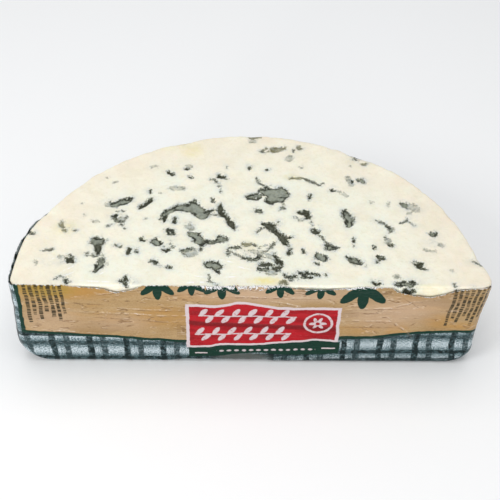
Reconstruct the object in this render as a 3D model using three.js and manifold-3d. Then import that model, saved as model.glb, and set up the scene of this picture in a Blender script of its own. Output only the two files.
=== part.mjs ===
// A half-round slab of blue cheese that stands in its printed wrapper.
//
// The slab is the lower half of a drum-shaped cheese, cut level at mid height and cut upright
// just past its middle. The wrapper covers the upright cut, the round side and the underside,
// and is open over the level cut.
//
// Millimetres, +Z up. The origin is on the table under the middle of the slab, the upright cut
// faces -Y, and X runs along it.

import * as THREE from 'three';
import { mergeVertices } from 'three/addons/utils/BufferGeometryUtils.js';
import Module from 'manifold-3d';

// Driving dimensions
const wheelDiameter = 190; // the whole drum, over its wrapper
const slabDepth = 98; // from the upright cut to the back of the round side
const slabHeight = 46.7; // from the table to the level cut
const shoulderRadius = 11; // rounding between the underside and the round side
const cornerRadius = 5; // rounding of the two upright corners
const wrapperThickness = 0.6; // coated foil with its folds
const wrapperDrop = 0.5; // the wrapper's edge stops this far below the level cut
const fitGap = 0.3; // clearance between the cheese and the wrapper

// Fineness of the round parts
const wheelSegments = 120;
const shoulderSegments = 8;
const cornerSegments = 6;

// Places worked out from the driving dimensions
const wheelRadius = wheelDiameter / 2;
const frontY = -slabDepth / 2;
const wheelCentreY = slabDepth / 2 - wheelRadius;
const beyond = 10; // how far the cutting block reaches past the slab
const cornerReach = 1; // the corner rounding is struck this far outside the drum

const wasm = await Module();
wasm.setup();

function toSolid(geometry) {
  const bare = geometry.clone();
  bare.deleteAttribute('normal');
  bare.deleteAttribute('uv');
  const merged = mergeVertices(bare);
  return new wasm.Manifold(new wasm.Mesh({
    numProp: 3,
    vertProperties: new Float32Array(merged.attributes.position.array),
    triVerts: new Uint32Array(merged.index.array),
  }));
}

function toGeometry(solid) {
  const { vertProperties, triVerts } = solid.getMesh();
  const geometry = new THREE.BufferGeometry();
  geometry.setAttribute('position', new THREE.BufferAttribute(vertProperties, 3));
  geometry.setIndex(new THREE.BufferAttribute(triVerts, 1));
  geometry.computeVertexNormals();
  return geometry;
}

// The drum with its lower shoulder rounded, everything inset from the wrapper's outer skin.
function drum(inset, topZ) {
  const radius = wheelRadius - inset;
  const shoulder = shoulderRadius - inset;
  const profile = [new THREE.Vector2(0, inset)];
  for (let step = 0; step <= shoulderSegments; step++) {
    const angle = (step / shoulderSegments) * (Math.PI / 2);
    profile.push(new THREE.Vector2(
      radius - shoulder + shoulder * Math.sin(angle),
      inset + shoulder - shoulder * Math.cos(angle),
    ));
  }
  profile.push(new THREE.Vector2(radius, topZ), new THREE.Vector2(0, topZ));
  const geometry = new THREE.LatheGeometry(profile, wheelSegments);
  geometry.rotateX(Math.PI / 2);
  geometry.translate(0, wheelCentreY, 0);
  return toSolid(geometry);
}

// A block whose front is the upright cut and whose two front corners are rounded.
function frontBlock(inset) {
  const halfWidth = wheelRadius + cornerReach - inset;
  const radius = cornerRadius - inset;
  const front = frontY + inset;
  const back = slabDepth / 2 + beyond;
  const outline = new THREE.Shape();
  outline.moveTo(-halfWidth, back);
  outline.lineTo(-halfWidth, front + radius);
  outline.absarc(-halfWidth + radius, front + radius, radius, Math.PI, 1.5 * Math.PI, false);
  outline.absarc(halfWidth - radius, front + radius, radius, -0.5 * Math.PI, 0, false);
  outline.lineTo(halfWidth, back);
  outline.closePath();
  const geometry = new THREE.ExtrudeGeometry(outline, {
    depth: slabHeight + 2 * beyond,
    curveSegments: cornerSegments,
    bevelEnabled: false,
  });
  geometry.translate(0, 0, -beyond);
  return toSolid(geometry);
}

function slab(inset, topZ) {
  return drum(inset, topZ).intersect(frontBlock(inset));
}

function makeCheese() {
  const solid = slab(wrapperThickness + fitGap, slabHeight);
  const material = new THREE.MeshStandardMaterial({ color: 0xf3eddc, roughness: 0.5, metalness: 0 });
  const mesh = new THREE.Mesh(toGeometry(solid), material);
  mesh.name = 'cheese';
  return mesh;
}

// A thin tray that follows the slab's front, side and underside, with no top.
function makeWrapper() {
  const skin = slab(0, slabHeight - wrapperDrop);
  const hollow = slab(wrapperThickness, slabHeight + beyond);
  const material = new THREE.MeshStandardMaterial({ color: 0xbea078, roughness: 0.35, metalness: 0 });
  const mesh = new THREE.Mesh(toGeometry(skin.subtract(hollow)), material);
  mesh.name = 'wrapper';
  return mesh;
}

const slabOfCheese = new THREE.Group();
slabOfCheese.add(makeCheese(), makeWrapper());

export default slabOfCheese;
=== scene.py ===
import math

import bpy
import numpy as np
from mathutils import Matrix, Vector, noise


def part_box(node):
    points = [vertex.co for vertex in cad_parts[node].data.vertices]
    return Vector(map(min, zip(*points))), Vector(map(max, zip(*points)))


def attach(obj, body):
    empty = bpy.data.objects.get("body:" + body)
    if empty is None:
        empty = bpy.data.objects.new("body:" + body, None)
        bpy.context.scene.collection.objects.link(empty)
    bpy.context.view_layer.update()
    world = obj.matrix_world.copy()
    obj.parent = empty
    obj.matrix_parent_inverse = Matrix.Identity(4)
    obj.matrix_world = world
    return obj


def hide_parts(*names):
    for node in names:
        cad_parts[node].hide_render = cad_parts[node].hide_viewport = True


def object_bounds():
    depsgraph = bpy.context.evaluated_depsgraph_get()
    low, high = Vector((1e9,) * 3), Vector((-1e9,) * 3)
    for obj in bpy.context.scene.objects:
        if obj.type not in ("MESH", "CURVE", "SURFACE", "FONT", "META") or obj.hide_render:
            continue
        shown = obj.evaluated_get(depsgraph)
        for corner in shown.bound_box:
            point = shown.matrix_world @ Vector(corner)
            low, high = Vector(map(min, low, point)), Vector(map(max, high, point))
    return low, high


noise.seed_set(1)  # the same torn outlines every time
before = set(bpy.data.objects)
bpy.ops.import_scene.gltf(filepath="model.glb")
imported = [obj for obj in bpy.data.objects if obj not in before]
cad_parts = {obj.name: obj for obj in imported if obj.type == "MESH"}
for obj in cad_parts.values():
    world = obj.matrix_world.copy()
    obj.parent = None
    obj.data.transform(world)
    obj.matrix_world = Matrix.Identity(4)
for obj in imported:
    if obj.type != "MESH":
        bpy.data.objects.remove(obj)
cadLow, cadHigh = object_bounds()
mm = 0.001

# what both pieces share: the half drum and how this one slumps
slab = {
    "radius": (cadHigh.x - cadLow.x) / 2,
    "frontY": cadLow.y,
    "topZ": cadHigh.z,
    "shoulder": 11 * mm,  # rounding between base and round side
    "corner": 4 * mm,  # rounding of the two upright corners
    "frontCurl": 1.6 * mm,  # rounding of the straight side's lower edge
    # where the round side swells or sinks: angle round the wheel, half width, amount,
    # height it is greatest at and how far up and down it reaches
    "swells": [(163, 9, 1.5, 40, 90), (128, 16, -0.5, 30, 90), (84, 20, 0.5, 30, 90), (40, 14, 0.5, 30, 90),
               (14, 7, -0.4, 40, 60), (0, 7, 2.2, 3, 6), (180, 12, 1.6, 15, 12), (60, 30, 0.8, 12, 12),
               (120, 25, 0.9, 10, 11), (1, 4.5, 1.9, 44, 14)],
}
slab["centreY"] = cadHigh.y - slab["radius"]
cutOffset = slab["centreY"] - slab["frontY"]


# ---- small helpers for modelling
def deselectAll():
    if bpy.context.object and bpy.context.object.mode == "EDIT":
        bpy.ops.object.mode_set(mode="OBJECT")
    bpy.ops.object.select_all(action="DESELECT")


def pick(piece):
    deselectAll()
    piece.select_set(True)
    bpy.context.view_layer.objects.active = piece


def selectFaces(piece, test):
    bpy.ops.object.mode_set(mode="EDIT")
    bpy.ops.mesh.select_mode(type="FACE")
    bpy.ops.mesh.select_all(action="DESELECT")
    bpy.ops.object.mode_set(mode="OBJECT")
    for face in piece.data.polygons:
        face.select = bool(test(face))
    bpy.ops.object.mode_set(mode="EDIT")


def readPoints(piece):
    points = np.empty(len(piece.data.vertices) * 3, np.float32)
    piece.data.vertices.foreach_get("co", points)
    return points.reshape(-1, 3).astype(float)


def writePoints(piece, points):
    piece.data.vertices.foreach_set("co", points.astype(np.float32).ravel())
    piece.data.update()


def writeValue(piece, name, values):
    attribute = piece.data.attributes.new(name, "FLOAT", "POINT")
    attribute.data.foreach_set("value", np.asarray(values, np.float32))


def smooth(low, high, value):
    t = np.clip((value - low) / (high - low), 0, 1)
    return t * t * (3 - 2 * t)


def grain(points, size, seed, kind=noise.noise):
    # soft noise from about -1 to 1, with features of the given size
    offset = Vector((seed * 7.3, seed * 3.1, seed * 5.7))
    return np.array([kind(Vector(p) / size + offset) for p in points])


def wander(points, size, seed):
    # the same in three directions
    return grain(points, size, seed, noise.noise_vector)


def swell(points):
    # how far the round side stands out at the angle and height of each point
    angle = np.degrees(np.arctan2(points[:, 1] - slab["centreY"], points[:, 0])) % 360
    angle = np.where(angle > 270, angle - 360, angle)
    amount = np.zeros(len(points))
    for middle, halfWidth, height, level, tall in slab["swells"]:
        around = np.exp(-((angle - middle) / halfWidth) ** 2)
        amount += height * mm * around * np.exp(-((points[:, 2] / mm - level) / tall) ** 2)
    return amount * smooth(0, 3 * mm, points[:, 2])


def slump(points):
    # pushes each point out from the wheel's axis, most of all at the rim
    x, y = points[:, 0], points[:, 1] - slab["centreY"]
    reach = np.hypot(x, y)
    push = swell(points) * (reach / slab["radius"]) ** 4
    share = np.where(reach > 1e-6, push / np.maximum(reach, 1e-6), 0)
    moved = points.copy()
    moved[:, 0] += x * share
    moved[:, 1] = np.maximum(points[:, 1] + y * share, np.minimum(points[:, 1], slab["frontY"]))
    return moved


def drumRadius(z, inset=0.0):
    # radius of the round side at each height
    shoulder = slab["shoulder"] - inset
    down = np.clip(shoulder + inset - z, 0, shoulder)
    return slab["radius"] - inset - shoulder + np.sqrt(shoulder ** 2 - down ** 2)


# ---- the cheese
cheeseMake = {
    "cell": 0.5 * mm,  # fineness of the cut face
    "edge": 0.6 * mm,  # softened edge round the cut face
    "foot": 3 * mm,  # rounding of the straight side's lower edge
    "wave": 0.25 * mm,  # how uneven the wire left the cut face
    "sideStep": 0.75 * mm,  # rows of the side, just under the cut face
    "sideRows": 11,
    # in millimetres
    "poreDepth": 0.35,
    "fuzz": 0.22,  # roughness inside the mould
    "proud": 0.62,  # how far the rim stands out over the wrapper's edge
    "sideRough": 0.12,
    # chips out of the rim: angle round the wheel, half width in degrees, size in millimetres
    "nicks": [(58.6, 3.2, 1.5), (107.6, 3.5, 0.9), (66, 1.2, 0.6), (25, 1.6, 0.5), (36, 1.2, 0.4),
              (8.5, 1.5, 0.6), (141, 2.2, 0.4), (155, 1.2, 0.4), (89, 1.4, 0.35), (118, 1.1, 0.3)],
}

# mould veins as strokes: x across, y back from the straight cut, width, all in millimetres
darkVeins = [
    [(-46, 47.6, 2.2), (-44, 50, 2), (-42.2, 52.3, 2.2)],
    [(-43.2, 58.3, 1), (-43, 57.2, 1.1)],
    [(-34.9, 70.8, 2.2), (-33.9, 69.6, 1.6)],
    [(-27.4, 73.5, 1.5)],
    [(-25.7, 68, 1.6), (-25.2, 67.2, 1.2)],
    [(-12.4, 68.5, 2.8), (-11.4, 68, 2.4)],
    [(-12.3, 50, 0.8), (-11.9, 46.5, 2.4), (-11, 43.4, 2.4), (-9.4, 41.5, 1.6), (-8, 38.5, 2.8),
     (-6.3, 35.6, 2.3), (-5.8, 33.6, 0.8)],
    [(-15.6, 53.2, 0.8), (-15.2, 51.4, 1.2)],
    [(-31, 41, 1.1), (-31.1, 38, 1.5)],
    [(-37.4, 39.6, 1), (-35.4, 40.6, 1.6), (-35.2, 38.8, 1)],
    [(-44.2, 27.4, 1.8), (-43.2, 27, 1.4)],
    [(-34.4, 21.2, 1.6), (-32.9, 21.7, 1.5), (-33.8, 19.9, 0.8)],
    [(-31.9, 25.1, 0.7)], [(-30.8, 23.3, 0.7)], [(-34.7, 23.3, 0.6)],
    [(-33, 11.6, 1), (-31.4, 10.8, 1.1)],
    [(-61.6, 24, 3.6), (-61, 21.6, 3), (-61.1, 19.4, 2.2)],
    [(-72.5, 15.4, 2.4), (-70.2, 14.2, 1.6), (-72, 17.2, 0.9), (-72.4, 14.4, 1.6)],
    [(-48.7, 21.3, 1.2), (-48.8, 18.8, 1.2)],
    [(-45.8, 21.3, 1), (-45.5, 20, 1.3)],
    [(-54.5, 23.8, 0.6), (-52.6, 23, 0.9)],
    [(-48.6, 5.2, 1.4), (-48.9, 2.6, 1.4), (-47.6, 0.8, 1)], [(-50.2, 3.4, 0.9), (-47.2, 3.6, 0.8)],
    [(-89.8, 30.4, 0.6), (-88.4, 30, 1)],
    [(-72, 32.3, 1.2)],
    [(0.7, 75.4, 0.8), (0.6, 73.8, 0.9)],
    [(8.7, 73, 1.3)],
    [(36.8, 59.3, 1.8), (37.8, 59, 0.9)],
    [(26.9, 55.6, 1.1), (27, 53.8, 0.6)],
    [(22, 44.6, 2.2), (24.8, 44.2, 3.2), (25.6, 42.2, 2.4), (25, 40.6, 1.2)],
    [(7, 37.4, 2.2), (8.8, 36.2, 4), (10.2, 33.4, 2.2), (12.4, 30.8, 2.4), (14.4, 28.4, 3.2),
     (15, 25.8, 2.4)], [(15.4, 28.8, 1.4), (17.8, 29.4, 1.2)], [(9.8, 37.8, 1.2), (11.4, 36.6, 1.2)],
    [(15, 28.6, 1.6), (17.4, 29, 1)],
    [(12.9, 38.6, 0.9)],
    [(26.8, 33.4, 1.8), (28.6, 32.4, 2.3), (29.6, 33.2, 1.3)],
    [(43.5, 28.6, 0.9), (43.6, 26.4, 0.9)],
    [(58, 25.8, 1.3), (59, 24.8, 1.5)],
    [(53, 18.2, 1.6), (54.4, 17.4, 1.8), (53, 16.4, 1.2)],
    [(52, 23.6, 0.6), (51.9, 22.4, 0.6)], [(51.9, 15.6, 0.7), (51.6, 14.4, 0.5)],
    [(67.8, 14.6, 1.8), (69.2, 13.6, 2.6), (68.6, 12.2, 1.6), (70.8, 10.9, 0.9)],
    [(22.6, 21.6, 1), (22.8, 20.2, 1.3)],
    [(16.8, 22.2, 1.1), (16.2, 20.4, 1.7), (16.7, 19, 0.8)],
    [(4.6, 13.3, 1.6), (7, 13.2, 2), (8.8, 12.9, 1.4)],
    [(10.4, 18.6, 0.9), (11.4, 16.8, 1.6), (12.8, 15, 1.6), (13.4, 13.4, 1)],
    [(10.6, 11.8, 1.8), (12.4, 11.7, 2.2)], [(10.6, 15.8, 1), (11.4, 13.8, 1)],
    [(10.3, 19.4, 0.6), (11.4, 14.8, 0.6), (12.6, 9.8, 0.6), (9.6, 9.4, 0.6)],
    [(49, 3.6, 1), (50.4, 2.7, 1.3), (52.2, 3.2, 0.8)],
    [(61.4, -0.4, 1.6), (62.6, -2.2, 2.2), (64.4, -3.2, 1.6)], [(64.8, -0.6, 1.6), (65, -2.4, 1.2)],
    [(8, 51.9, 2.2), (10, 51, 2.6), (11.6, 51.8, 1.8)],
    [(0.2, 53.6, 1.6), (3.4, 53.4, 1.8), (4.8, 54.6, 1.4)],
    [(45.4, 66.8, 0.8), (46.2, 65.6, 1.4), (45.6, 64.2, 1)],
    [(92.9, 14.6, 1)],
    [(79.4, 24.8, 0.6)],
    [(30.4, 7.3, 0.7)],
    [(-19.6, 21.2, 1.1)],
    [(27.2, 14.2, 1), (28.2, 13.4, 0.9)],
]
grayVeins = [
    [(-36, 42, 2), (-34.4, 44.6, 2.6), (-32.4, 45.6, 1.8)],
    [(-32, 46.6, 2.4), (-29.4, 47.4, 3.8), (-26.2, 47, 4.6), (-23.4, 49.2, 3.8), (-22, 45.8, 5.8),
     (-19.6, 42.8, 5)],
    [(-23, 50.6, 1.6), (-23.1, 52.4, 0.8)],
    [(-18.4, 43.4, 2.6), (-15.2, 45.6, 1)],
    [(-24, 30.6, 2.6), (-21.8, 29.6, 3.8), (-20.4, 26.8, 4.2), (-19.4, 24.6, 2.4)],
    [(-19, 25.4, 1.8), (-14.6, 26, 1.9), (-12.4, 27, 2)],
    [(-11.2, 28, 3.2), (-9.8, 27.6, 2.4)],
    [(-62.8, 26.2, 3.6), (-60.8, 26.2, 3.8)], [(-64, 25, 1.6), (-59.8, 25, 1.6)],
    [(-58.7, 15.2, 2), (-59.6, 12, 3.2), (-61.2, 8.6, 1)],
    [(-58.6, 48.9, 3), (-55.8, 49.6, 3.2), (-52, 51.8, 3.2), (-51, 52.6, 1.6)],
    [(-57.4, 41.6, 1), (-56.2, 42.2, 1), (-56.4, 39.6, 1), (-54.6, 38, 1.3), (-52.4, 38, 0.7)],
    [(-38.6, 26.4, 3), (-37.4, 25.4, 3.2)],
    [(-38.6, 14.9, 1.6), (-37.2, 13.9, 1.6)],
    [(-26.6, 20.8, 2), (-23.6, 21, 2.6)], [(-24.6, 18.4, 1.6), (-22.6, 18.6, 2)],
    [(-16, 12.8, 3.4), (-13.6, 13, 4), (-11.8, 12, 2.2)], [(-13.6, 10.6, 1.8), (-12.2, 8.6, 1.1)],
    [(5.6, 58.8, 2), (8, 57.6, 5), (11, 56.6, 7), (13.8, 57.6, 6), (15.6, 55.8, 4)],
    [(9.6, 53.6, 4), (14, 53.4, 4)], [(14, 60.4, 2.2)], [(8, 60.4, 2.4)],
    [(0, 54.8, 2), (4, 55.8, 3)],
    [(3.8, 45.6, 2.6), (5, 45, 2.2)],
    [(41, 45.6, 1.6), (41.8, 43, 3.4), (42.8, 40.6, 3.8), (42.1, 36.6, 2)],
    [(32, 25, 1.4), (33.4, 23.4, 2.4), (35.4, 22.8, 1.6)],
    [(28.4, 18, 3.2), (30.2, 17, 3.4)],
    [(40, 18, 0.8), (41.6, 16, 2), (43.6, 15.2, 3.2), (45.4, 14.4, 1.6)],
    [(4.4, 10.3, 1.6), (7.2, 10.4, 2), (9.6, 9.8, 1.4), (11.4, 10, 0.9)],
    [(58.8, 2.8, 2.2), (61.4, 3.2, 2.4), (63.6, 2, 2.2), (65, 3.2, 1.6)],
    [(76.4, 32, 1.4), (77.4, 31, 1.8), (78.2, 32.2, 1.2)],
    [(66.4, 50.6, 1.8), (67.4, 49.4, 2.6), (68.4, 48, 1.6)],
    [(49.2, 66.2, 1.4), (50.4, 66, 2), (51, 64.8, 1.2)],
    [(-2.4, 16.8, 0.9), (0.8, 16.4, 1.8), (3.6, 16.4, 1.8), (4.2, 17.8, 1)],
    [(-7.6, 23, 1), (-5.4, 22.8, 1.4), (-2.8, 23, 1.1)],
    [(14.6, 7.2, 0.8), (16.6, 6, 1.6), (18.2, 6.6, 1.2)],
    [(20.4, 8.2, 1.1), (23.6, 8.5, 1.1), (26.2, 7.6, 1), (28, 7, 0.6)], [(21.4, 6.4, 0.9), (24.8, 6, 1)],
    [(14.4, 47, 1.3)],
    [(-72.4, 4.2, 0.5), (-71.2, 2.2, 0.6)],
    [(-33.6, 33, 1.3), (-31.4, 33, 1.2), (-31.4, 31, 1.4), (-33.4, 30.8, 1.3), (-33.8, 32.4, 1)],
    [(58, 36.4, 1.1), (59.4, 35, 1.4), (59.2, 33.4, 1.2)],
]
lineVeins = [
    [(-17, 43.2, 0.6), (-13, 42.6, 0.8), (-11, 42.8, 0.8)],
    [(-16.6, 66.2, 0.9), (-14.2, 65.6, 0.8), (-12.8, 63.4, 0.8), (-12.4, 61.4, 0.8)],
    [(-14.4, 65.4, 0.8), (-13.8, 63.6, 0.7)], [(-10.4, 66.6, 0.5), (-9.2, 66, 0.7)],
    [(-12.2, 59.6, 0.4), (-12, 57.8, 0.4)],
    [(-9.4, 75.2, 0.7), (-9.2, 73.6, 0.6)],
    [(-56, 44.8, 0.6), (-53.2, 44.6, 0.6)],
    [(-58.4, 35.6, 0.9), (-57.6, 36.4, 0.6)], [(-51.6, 33.6, 0.6)], [(-52, 39.6, 1), (-51.2, 41, 0.6)],
    [(-54.4, 36.4, 0.6), (-52.8, 35.6, 0.7)],
    [(-82.8, 19.8, 0.6), (-81, 20.4, 1.2), (-79.2, 21.2, 0.6)],
    [(-65.8, 19.2, 1), (-65.4, 17.8, 1.1)],
    [(-63.6, 18.2, 0.7), (-61.6, 17.2, 1.1), (-59.2, 17.8, 0.6)],
    [(-76.6, 4.4, 0.6), (-74.8, 5.8, 0.6), (-72.8, 4.8, 0.4)],
    [(-43.2, 40, 0.3)],
    [(-35.8, 12.4, 0.6)], [(-27.6, 21, 0.7), (-26.4, 19.2, 0.7), (-24.6, 17.4, 0.7)],
    [(-8.8, 22.6, 0.6), (-8.8, 20, 0.5), (-8.2, 17.8, 0.6)],
    [(-8, 20.8, 0.6), (-5, 18.6, 0.8), (-2.4, 17, 0.8)],
    [(3.8, 17.6, 0.7), (5.6, 20, 0.7), (7.6, 21.4, 0.9), (9.4, 23.6, 0.8), (11, 26.4, 0.8)],
    [(-2.6, 23.4, 0.5), (1, 24.6, 0.6), (4, 23.4, 0.5), (9.6, 25, 0.4)],
    [(0, 21.4, 0.4), (3.4, 20, 0.6), (5.4, 17.6, 0.6), (9.6, 16, 0.5)],
    [(6.8, 19.4, 0.5), (8.8, 18.6, 0.5)],
    [(14.2, 8, 0.5), (14.6, 5.6, 0.5), (17, 4.2, 0.6)], [(18.6, 8, 0.5), (19.6, 5, 0.4)],
    [(-51.3, 33.5, 0.5)], [(-58.9, 35, 0.5), (-57.4, 36.4, 0.5)], [(-51.8, 39.8, 0.8), (-52.4, 36.8, 0.5)],
    [(-75, 16.6, 0.6), (-72.3, 16.2, 0.5)], [(-40, 14.1, 0.6), (-36.4, 14.6, 0.6)],
    [(-38.4, 15.6, 0.5), (-37, 12.6, 0.5)],
    [(3.2, 31.6, 0.9), (4.2, 33.2, 0.6), (6.6, 34.8, 0.7)],
    [(4.2, 67, 0.8), (4.2, 64.2, 0.6), (6.6, 62.6, 0.8), (9.6, 62, 0.7)], [(4.6, 65, 0.5), (5.6, 63, 0.5)],
    [(24.4, 66.8, 0.8), (26.4, 65.8, 1.2), (28.8, 64.8, 1.4), (31.4, 62.8, 1)],
    [(31.6, 63.6, 0.6), (33, 63.4, 0.4)],
    [(54.2, 39.8, 0.9), (56, 37.8, 1.1), (58.2, 37.2, 0.9), (60, 36.2, 0.8), (60.2, 33.6, 0.7),
     (58.6, 32.6, 0.7)],
    [(19.4, 41.6, 0.5), (21.2, 40.2, 0.6), (23.8, 40, 0.5)],
    [(26.4, 37.8, 0.7), (26.8, 36.6, 0.5)], [(30, 36.4, 0.5)],
    [(29.2, 31.4, 0.8), (30.4, 29.2, 1), (30.8, 27.2, 0.6)],
    [(30.8, 26.4, 0.6), (33.4, 25, 0.7), (36.8, 23, 0.7), (34.6, 21.6, 0.6), (32, 21.8, 0.7),
     (31.6, 24, 0.5)],
    [(43.3, 24.4, 0.5), (43.2, 23.6, 0.4)],
    [(57.2, 29.4, 0.6), (57, 27.4, 0.5), (58.2, 26.4, 0.6)],
    [(67.4, 41.6, 0.6), (66.6, 39.4, 0.9), (64.4, 37.8, 0.8)], [(67.4, 39.2, 0.7), (70, 36.9, 0.6)],
    [(46.8, 12.8, 0.5)], [(14.8, 24.6, 0.6), (16.6, 24, 0.5)],
    [(6, 86.4, 1), (8.4, 85.4, 0.8)], [(20.6, 87.2, 0.7), (20.9, 85.6, 0.5)],
    [(-30, 60.6, 0.7), (-28.4, 59.8, 0.7)], [(-33, 59.4, 0.5), (-31, 60.8, 0.6)],
    [(-16, 3.4, 0.4), (-14, 2.4, 0.7), (-12, 1, 0.8)], [(-15.8, 7.6, 0.4), (-15.4, 4.6, 0.4)],
    [(13.6, 45.6, 0.6), (15.2, 46.4, 0.6)],
    [(2.4, 94.4, 0.6), (3, 93.4, 0.5)],
    [(80.2, 3, 0.8), (80.8, 0.6, 0.9), (80.6, -1.6, 0.7)], [(88.4, 1.4, 0.6), (88.8, -0.8, 0.7)],
    [(48.2, 83.2, 0.6), (50.4, 81.2, 0.9)], [(91.6, 16, 0.5), (93.2, 13.6, 0.7)],
]
faintVeins = [
    [(-85.4, 14.2, 1.2), (-84.8, 12.4, 1.4)], [(-75.4, 16.6, 2)], [(-57, 12.6, 1.2)],
    [(-38.2, 56.3, 1)], [(-34, 59.6, 1.8), (-29, 60, 2.2)], [(-27, 75.2, 2.4)], [(-71.4, 49.4, 1)],
    [(-69.6, 41.8, 0.8)], [(-65.4, 37.9, 0.9), (-63.8, 37.9, 0.9)], [(-62.5, 67, 0.8)], [(-59, 63.8, 1.6)],
    [(-43.4, 75, 1.2), (-41.4, 75.2, 0.8)], [(-60.4, 48.6, 2.6)], [(-54, 40, 2)],
    [(-25.2, 35.6, 2.4), (-23.8, 34.2, 2)],
    [(19, 82.4, 3), (18.6, 80.4, 3)], [(23.8, 75.2, 1.4)], [(44.6, 68, 1.6), (45, 62.8, 1.4)],
    [(39.4, 58, 1.2), (43, 55.2, 0.8)], [(53, 51.2, 1.2)], [(60.7, 51, 1), (60.4, 48.6, 0.5)],
    [(70.2, 48.6, 4), (71.8, 46.6, 3)], [(68.2, 44.6, 1.6)], [(79.6, 25.2, 2.2)],
    [(72.6, 22, 1.6), (76, 21.4, 1.8)],
    [(57.6, 26.8, 3)], [(81, 10.2, 0.9)], [(58.8, 6.6, 2.4)], [(60.6, 34.6, 2)], [(15, 49.6, 1.4)],
    [(1, 20.6, 2), (5, 19.6, 2.4)], [(8, 17.6, 2.4)], [(22, 39.6, 2)], [(9, 9, 4)], [(-23.6, 19.6, 5)],
    [(46, 76, 0.8)], [(27, 52.6, 0.8)], [(2, 93.6, 3)],
]
oliveVeins = [
    [(-77.9, 36.8, 1.6), (-77.3, 35, 2)], [(-76.2, 32.4, 0.9), (-75.4, 31.2, 1.4)], [(-76.6, 34, 1)],
    [(18.6, 66.8, 0.8), (20.4, 67.6, 1.1)], [(21.4, 67.3, 1.5), (23.4, 67.3, 1.2)],
    [(23.3, 89.9, 1.4), (23.6, 88.4, 2), (24.8, 88.6, 1)],
    [(7.4, 87.2, 1.2), (9, 88.8, 1)], [(10.6, 87.8, 1.4), (14.2, 87.8, 3), (17, 88.6, 1.4)],
    [(9.6, 86, 1), (13.4, 86, 1.2)],
    [(51.8, 78.2, 1.2), (52.8, 77.6, 2)],
    [(12.8, 2.6, 1.3), (14.2, 3.4, 1.7), (15.2, 2.2, 1)],
    [(-1.8, 25.2, 1.2), (0.4, 24.8, 1.2)],
    [(1.4, 96.2, 1.8), (4.6, 96.4, 1.6)],
]
veinLooks = {
    # tone is how light the inside is, depth how far it is sunk, rough how torn its outline is,
    # cover how closely the mould covers the paste, grow what is added to each side, in millimetres
    "dark": (darkVeins, dict(tone=0.15, olive=0.1, depth=0.9, rough=1, cover=1, grow=0.12)),
    "gray": (grayVeins, dict(tone=1, olive=0, depth=0.5, rough=1, cover=1, grow=0.22)),
    "line": (lineVeins, dict(tone=0.35, olive=0.15, depth=0.3, rough=1.2, cover=0.85, grow=0.02)),
    "faint": (faintVeins, dict(tone=0.9, olive=0.06, depth=0.05, rough=1.4, cover=0.35, grow=0.2)),
    "olive": (oliveVeins, dict(tone=0.7, olive=1, depth=0.3, rough=1, cover=0.75, grow=0.1)),
}
# places where the mould only bruises the paste: x, y, half sizes, strength
bruises = [(-24.5, 35, 4, 4.5, 1.0), (-33, 27, 5, 4, 0.5), (-24, 21, 6, 4, 0.7), (-9, 47, 3.5, 3, 0.5),
           (2, 21, 8, 4.5, 0.8), (9, 13, 7, 6, 0.8), (19, 6, 8, 4, 0.8), (62, 3, 8, 5, 0.8),
           (-57, 50, 9, 4.5, 0.7), (-54, 40, 7, 6, 0.6), (-73, 14, 6, 4, 0.7), (-61, 13, 5, 7, 0.6),
           (46, 66, 5, 5, 0.6), (70, 47, 6, 5.5, 0.8), (13, 57, 10, 6.5, 0.5), (25, 42, 5, 5, 0.6),
           (34, 23.5, 6, 4, 0.6), (29, 17, 6, 5, 0.6), (43, 15, 6, 4.5, 0.6), (-75, 33, 5, 5, 0.5),
           (-18, 46, 6, 4, 0.5), (18, 82, 4, 4.5, 0.6), (13, 88, 9, 4, 0.6), (-13, 65, 6, 6, 0.4),
           (-80, 14, 9, 4, 0.4), (77, 27, 6, 7, 0.5), (58, 33, 6, 6, 0.4), (-46, 3, 6, 4, 0.6),
           (-73, 5, 6, 4, 0.6), (-36, 13, 6, 4, 0.5), (-30, 60, 6, 3, 0.4), (7, 31, 5, 6, 0.4)]


def strokeReach(x, y, stroke):
    # how far each point lies inside a stroke of changing width; negative outside
    best = np.full(len(x), -1e3)
    ends = stroke if len(stroke) > 1 else [stroke[0], stroke[0]]
    for (ax, ay, aw), (bx, by, bw) in zip(ends, ends[1:]):
        run = (bx - ax) ** 2 + (by - ay) ** 2
        t = np.clip(((x - ax) * (bx - ax) + (y - ay) * (by - ay)) / max(run, 1e-6), 0, 1)
        away = np.hypot(x - ax - t * (bx - ax), y - ay - t * (by - ay))
        best = np.maximum(best, (aw + t * (bw - aw)) / 2 - away)
    return best


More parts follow.
